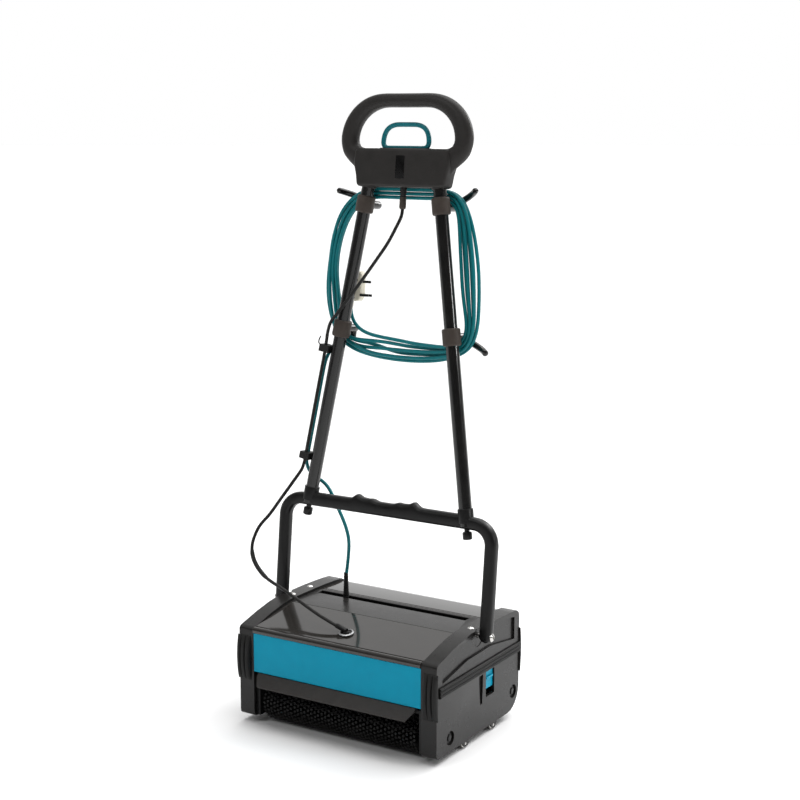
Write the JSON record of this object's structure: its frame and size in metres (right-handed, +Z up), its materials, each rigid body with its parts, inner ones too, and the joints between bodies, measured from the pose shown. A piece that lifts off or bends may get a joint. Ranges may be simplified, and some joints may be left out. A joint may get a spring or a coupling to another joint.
{
  "type": "carpet cleaner machine",
  "caption": "Upright carpet and floor scrubber with counter-rotating cylindrical brushes, tilting tube handle, switch loop grip and coiled mains cord.",
  "frame": {"origin": "on the floor under the centre of the base", "axes": "+Z up, -Y to the front, +X to the machine's right-hand casing seen from the front"},
  "size_m": [0.5208, 0.356, 1.1965],
  "materials": {
    "charcoal": "satin charcoal moulding",
    "satin_black": "satin black moulding",
    "smoke_gloss": "glossy dark grey",
    "teal_panel": "satin teal",
    "teal_switch": "satin teal",
    "teal_cord": "smooth flexible sheath",
    "lead_sheath": "smooth flexible sheath",
    "clamp_brown": "dull brown-grey moulding",
    "tube_black": "gloss black paint on steel tube",
    "rubber_black": "dull black rubber",
    "bristle_black": "nylon bristle tufts",
    "steel": "bright steel",
    "aluminium": "cast housing",
    "drum_grey": "smooth drum",
    "lip_grey": "satin grey moulding",
    "ivory": "glossy moulding"
  },
  "bodies": {
    "machine_base": {"chassis": "satin_black", "centre_cover": "charcoal", "front_tank": "teal_panel", "front_lid": "smoke_gloss", "front_spray_lip": "lip_grey", "rear_spray_lip": "lip_grey", "corner_pad_front_left": "rubber_black", "bearing_front_left": "steel", "corner_pad_front_right": "rubber_black", "bearing_front_right": "steel", "front_belt": "rubber_black", "corner_pad_rear_left": "rubber_black", "bearing_rear_left": "steel", "corner_pad_rear_right": "rubber_black", "bearing_rear_right": "steel", "rear_belt": "rubber_black", "motor": "aluminium", "side_casing_left": "charcoal", "side_bumper_left": "rubber_black", "yoke_pivot_bolt_left": "steel", "side_casing_right": "charcoal", "side_bumper_right": "rubber_black", "yoke_pivot_bolt_right": "steel", "mains_gland": "rubber_black", "lead_connector": "satin_black", "lead_to_base": "lead_sheath", "mains_to_base": "teal_cord"},
    "handle": {"yoke": "satin_black", "grip": "charcoal", "lead_gland": "clamp_brown", "cord_clip_upper": "rubber_black", "cord_clip_lower": "rubber_black", "lead_on_handle": "lead_sheath", "mains_on_handle": "teal_cord", "mains_coil": "teal_cord", "mains_plug": "ivory", "handle_tube_left": "tube_black", "handle_tube_right": "tube_black", "tube_bolt_left": "satin_black", "tube_bolt_right": "satin_black", "hook_upper_left": "clamp_brown", "hook_upper_right": "clamp_brown", "hook_lower_left": "clamp_brown", "hook_lower_right": "clamp_brown"},
    "switch": {"switch_loop": "teal_switch"},
    "front_brush": {"front_bristles": "bristle_black", "front_brush_core": "satin_black"},
    "rear_brush": {"rear_bristles": "bristle_black", "rear_brush_core": "satin_black"},
    "drum": {"pickup_drum": "drum_grey"},
    "rotor": {"motor_shaft": "steel"},
    "reverser": {"reversing_gear": "steel"},
    "rear_tank_unit": {"rear_tank": "teal_panel", "rear_lid": "smoke_gloss"},
    "latch_left": {"side_latch_left": "teal_panel"},
    "roller_front_left": {"roller_front_left": "steel"},
    "roller_rear_left": {"roller_rear_left": "steel"},
    "latch_right": {"side_latch_right": "teal_panel"},
    "roller_front_right": {"roller_front_right": "steel"},
    "roller_rear_right": {"roller_rear_right": "steel"}
  },
  "joints": [
    {"name": "handle_tilt", "type": "hinge", "parent": "machine_base", "child": "handle", "pos_m": [0, 0, 0.204], "axis": [-1, 0, 0], "range_deg": [-6, 60], "deforming": ["lead_to_base", "mains_to_base"]},
    {"name": "switch_squeeze", "type": "hinge", "parent": "handle", "child": "switch", "pos_m": [0, 0.09219, 1.08117], "axis": [-1, 0, 0], "range_deg": [0, 12], "stiffness_Nm_per_rad": 1, "springref_deg": -5.73},
    {"name": "front_brush_spin", "type": "hinge", "parent": "machine_base", "child": "front_brush", "pos_m": [0, -0.108, 0.043], "axis": [1, 0, 0], "continuous": true},
    {"name": "rear_brush_spin", "type": "hinge", "parent": "machine_base", "child": "rear_brush", "pos_m": [0, 0.108, 0.043], "axis": [1, 0, 0], "continuous": true},
    {"name": "rotor_spin", "type": "hinge", "parent": "machine_base", "child": "rotor", "pos_m": [0, 0.005, 0.145], "axis": [1, 0, 0], "continuous": true},
    {"name": "reverser_spin", "type": "hinge", "parent": "machine_base", "child": "reverser", "pos_m": [0, 0.03311, 0.12811], "axis": [1, 0, 0], "continuous": true},
    {"name": "drum_spin", "type": "hinge", "parent": "machine_base", "child": "drum", "pos_m": [0, 0, 0.036], "axis": [1, 0, 0], "continuous": true},
    {"name": "roller_front_left_spin", "type": "hinge", "parent": "machine_base", "child": "roller_front_left", "pos_m": [-0.2118, -0.05, 0.009], "axis": [1, 0, 0], "continuous": true},
    {"name": "roller_rear_left_spin", "type": "hinge", "parent": "machine_base", "child": "roller_rear_left", "pos_m": [-0.2118, 0.058, 0.009], "axis": [1, 0, 0], "continuous": true},
    {"name": "latch_left_push", "type": "slide", "parent": "machine_base", "child": "latch_left", "axis": [1, 0, 0], "range_m": [0, 0.0035], "stiffness_N_per_m": 400, "springref_m": -0.002},
    {"name": "roller_front_right_spin", "type": "hinge", "parent": "machine_base", "child": "roller_front_right", "pos_m": [0.2118, -0.05, 0.009], "axis": [1, 0, 0], "continuous": true},
    {"name": "roller_rear_right_spin", "type": "hinge", "parent": "machine_base", "child": "roller_rear_right", "pos_m": [0.2118, 0.058, 0.009], "axis": [1, 0, 0], "continuous": true},
    {"name": "latch_right_push", "type": "slide", "parent": "machine_base", "child": "latch_right", "axis": [-1, 0, 0], "range_m": [0, 0.0035], "stiffness_N_per_m": 400, "springref_m": -0.002},
    {"name": "rear_tank_lift", "type": "slide", "parent": "machine_base", "child": "rear_tank_unit", "axis": [0, 0, 1], "range_m": [0, 0.25]}
  ],
  "couplings": [
    {"joint": "rear_brush_spin", "follows": "front_brush_spin", "ratio": -1},
    {"joint": "rotor_spin", "follows": "front_brush_spin", "ratio": 1.8},
    {"joint": "reverser_spin", "follows": "front_brush_spin", "ratio": -1.8}
  ]
}
